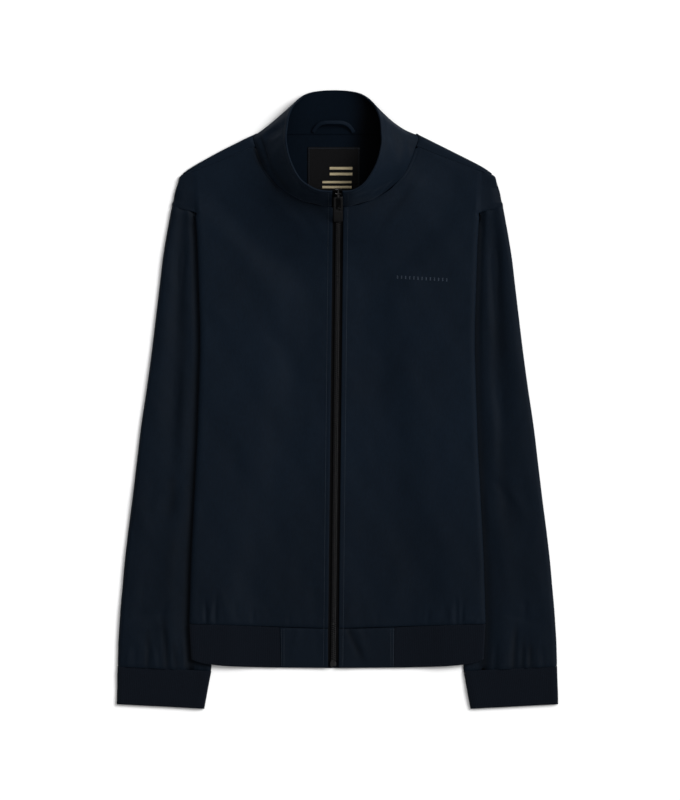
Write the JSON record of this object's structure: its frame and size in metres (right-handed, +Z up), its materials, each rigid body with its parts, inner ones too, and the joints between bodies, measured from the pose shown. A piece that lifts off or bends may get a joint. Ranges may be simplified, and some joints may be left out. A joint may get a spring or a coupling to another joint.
{
  "type": "bomber jacket",
  "caption": "Zip-front bomber jacket with a stand collar, rib cuffs and hem band, hanger loop and neck label, laid flat on its back with the sleeves beside the body.",
  "frame": {"origin": "on the surface the jacket lies on, below the middle of its bounding box", "axes": "+X to the wearer's left, +Y from hem to collar, +Z up from the surface, out of the front"},
  "size_m": [0.574, 0.804, 0.0555],
  "materials": {
    "shell": "dark navy woven nylon with a soft low sheen",
    "rib": "fine rib knit, near black navy, matte",
    "tape": "black woven zip tape and coil, matte",
    "label": "black woven label with plain tan bars",
    "zip_metal": "black lacquered metal, semi-gloss"
  },
  "bodies": {
    "root": {"back_panel": "shell", "front_right": "shell", "front_left": "shell", "sleeve_right": "shell", "sleeve_left": "shell", "collar": "shell", "hem_tab_right": "shell", "hem_tab_left": "shell", "hanger_loop": "shell", "cuff_right": "rib", "cuff_left": "rib", "hem_rib": "rib", "zip_tape_right": "tape", "zip_tape_left": "tape", "zip_chain": "tape", "neck_label": "label", "zip_slider": "zip_metal", "zip_box": "zip_metal"},
    "pull": {"pull_tab": "zip_metal"}
  },
  "joints": [
    {"name": "pull_hinge", "type": "hinge", "parent": "root", "child": "pull", "pos_m": [0.0012, 0.26163, 0.04958], "axis": [-1, 0, 0], "range_deg": [0, 150]}
  ]
}
